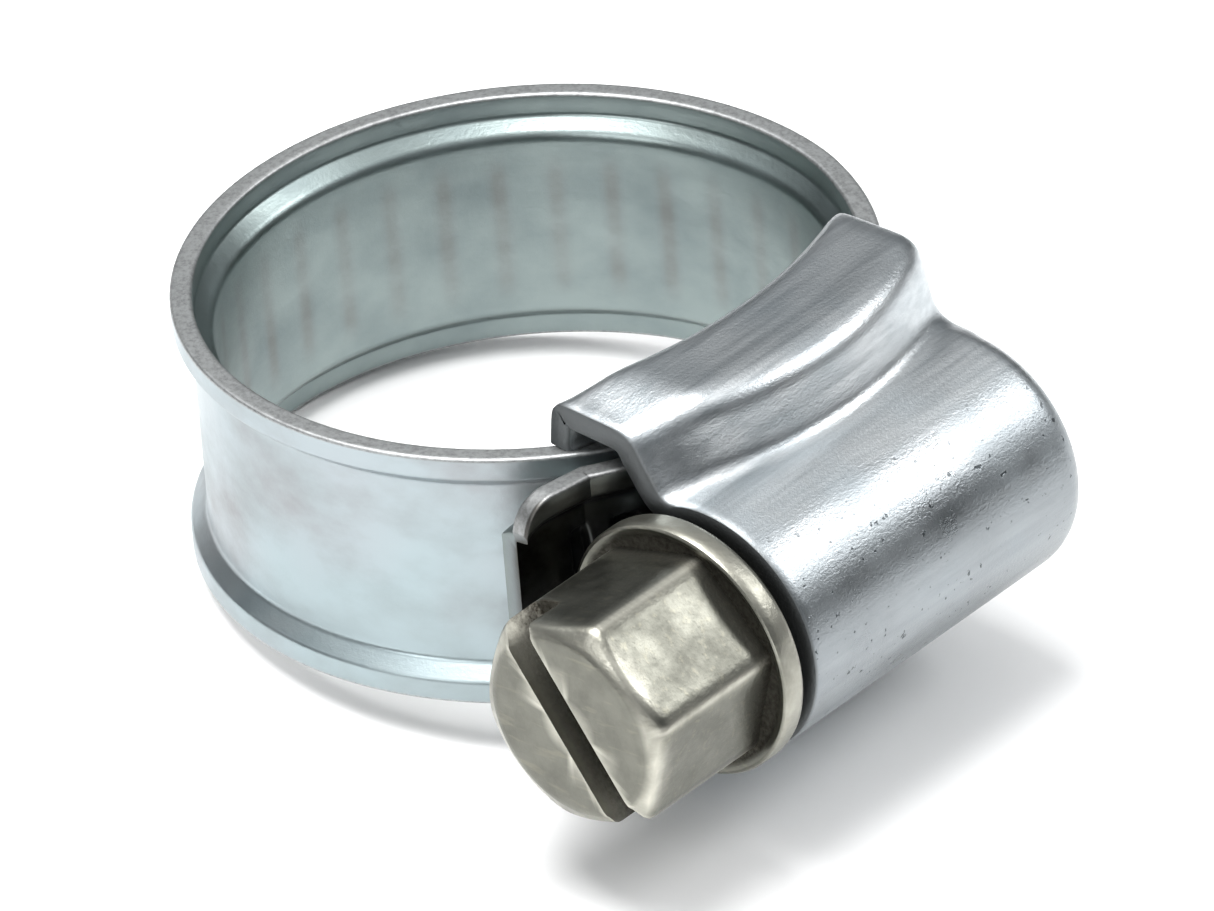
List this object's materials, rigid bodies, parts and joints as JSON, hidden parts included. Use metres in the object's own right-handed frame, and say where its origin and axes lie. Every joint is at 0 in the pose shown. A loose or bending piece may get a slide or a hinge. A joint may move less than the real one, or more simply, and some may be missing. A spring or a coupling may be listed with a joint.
{
  "type": "hose clamp",
  "caption": "Small worm-drive hose clamp: a steel band with turned-out edges closed by a slotted hexagon-head screw in a pressed domed housing.",
  "frame": {"origin": "centre of the hose bore, halfway across the band's width", "axes": "+Z along the hose axis; the housing lies towards -Y; the screw is parallel to X with its head towards -X"},
  "size_m": [0.0265, 0.0303, 0.014],
  "materials": {
    "housing_zinc": "bright blue-white zinc plate, satin",
    "screw_steel": "dull zinc plate, worn edges",
    "band_steel": "grey zinc plate with cloudy stains"
  },
  "bodies": {
    "base": {"housing": "housing_zinc", "band_fixed_end": "band_steel"},
    "screw": {"worm_screw": "screw_steel"},
    "tail": {"band_tail": "band_steel"},
    "segment_01": {"band_segment_01": "band_steel"},
    "segment_02": {"band_segment_02": "band_steel"},
    "segment_03": {"band_segment_03": "band_steel"},
    "segment_04": {"band_segment_04": "band_steel"},
    "segment_05": {"band_segment_05": "band_steel"},
    "segment_06": {"band_segment_06": "band_steel"},
    "segment_12": {"band_segment_12": "band_steel"},
    "segment_11": {"band_segment_11": "band_steel"},
    "segment_10": {"band_segment_10": "band_steel"},
    "segment_09": {"band_segment_09": "band_steel"},
    "segment_08": {"band_segment_08": "band_steel"},
    "segment_07": {"band_segment_07": "band_steel"}
  },
  "joints": [
    {"name": "worm_spin", "type": "hinge", "parent": "base", "child": "screw", "pos_m": [-0.012, -0.01415, 0], "axis": [1, 0, 0], "range_deg": [-80, 1170]},
    {"name": "tail_feed", "type": "hinge", "parent": "base", "child": "tail", "pos_m": [-0.0012, 0.0009, 0], "axis": [0, 0, 1], "range_deg": [-29.2, 2.46]},
    {"name": "band_bend_01", "type": "hinge", "parent": "tail", "child": "segment_01", "pos_m": [0.00989, -0.00321, 0], "axis": [0, 0, 1], "range_deg": [-0.44, 3.65]},
    {"name": "band_bend_02", "type": "hinge", "parent": "segment_01", "child": "segment_02", "pos_m": [0.01039, 0.00045, 0], "axis": [0, 0, 1], "range_deg": [-0.36, 2.59]},
    {"name": "band_bend_03", "type": "hinge", "parent": "segment_02", "child": "segment_03", "pos_m": [0.00957, 0.00406, 0], "axis": [0, 0, 1], "range_deg": [-0.3, 1.63]},
    {"name": "band_bend_04", "type": "hinge", "parent": "segment_03", "child": "segment_04", "pos_m": [0.00754, 0.00716, 0], "axis": [0, 0, 1], "range_deg": [-0.27, 1.25]},
    {"name": "band_bend_05", "type": "hinge", "parent": "segment_04", "child": "segment_05", "pos_m": [0.00456, 0.00935, 0], "axis": [0, 0, 1], "range_deg": [-0.29, 1.47]},
    {"name": "band_bend_06", "type": "hinge", "parent": "segment_05", "child": "segment_06", "pos_m": [0.001, 0.01035, 0], "axis": [0, 0, 1], "range_deg": [-0.33, 2.04]},
    {"name": "band_bend_13", "type": "hinge", "parent": "base", "child": "segment_12", "pos_m": [-0.00696, -0.00773, 0], "axis": [0, 0, 1], "range_deg": [-3.71, 0.44]},
    {"name": "band_bend_12", "type": "hinge", "parent": "segment_12", "child": "segment_11", "pos_m": [-0.00923, -0.0048, 0], "axis": [0, 0, 1], "range_deg": [-2.88, 0.38]},
    {"name": "band_bend_11", "type": "hinge", "parent": "segment_11", "child": "segment_10", "pos_m": [-0.01032, -0.00127, 0], "axis": [0, 0, 1], "range_deg": [-2.28, 0.34]},
    {"name": "band_bend_10", "type": "hinge", "parent": "segment_10", "child": "segment_09", "pos_m": [-0.01011, 0.00243, 0], "axis": [0, 0, 1], "range_deg": [-2.19, 0.34]},
    {"name": "band_bend_09", "type": "hinge", "parent": "segment_09", "child": "segment_08", "pos_m": [-0.00862, 0.00582, 0], "axis": [0, 0, 1], "range_deg": [-2.44, 0.35]},
    {"name": "band_bend_08", "type": "hinge", "parent": "segment_08", "child": "segment_07", "pos_m": [-0.00604, 0.00847, 0], "axis": [0, 0, 1], "range_deg": [-2.65, 0.37]}
  ],
  "couplings": [
    {"joint": "tail_feed", "follows": "worm_spin", "ratio": -0.024526},
    {"joint": "band_bend_01", "follows": "worm_spin", "ratio": 0.0029496},
    {"joint": "band_bend_02", "follows": "worm_spin", "ratio": 0.0020457},
    {"joint": "band_bend_03", "follows": "worm_spin", "ratio": 0.0012221},
    {"joint": "band_bend_04", "follows": "worm_spin", "ratio": 0.00089399},
    {"joint": "band_bend_05", "follows": "worm_spin", "ratio": 0.0010897},
    {"joint": "band_bend_06", "follows": "worm_spin", "ratio": 0.0015702},
    {"joint": "band_bend_13", "follows": "worm_spin", "ratio": -0.0030015},
    {"joint": "band_bend_12", "follows": "worm_spin", "ratio": -0.002294},
    {"joint": "band_bend_11", "follows": "worm_spin", "ratio": -0.0017745},
    {"joint": "band_bend_10", "follows": "worm_spin", "ratio": -0.0016967},
    {"joint": "band_bend_09", "follows": "worm_spin", "ratio": -0.0019108},
    {"joint": "band_bend_08", "follows": "worm_spin", "ratio": -0.0020921}
  ]
}
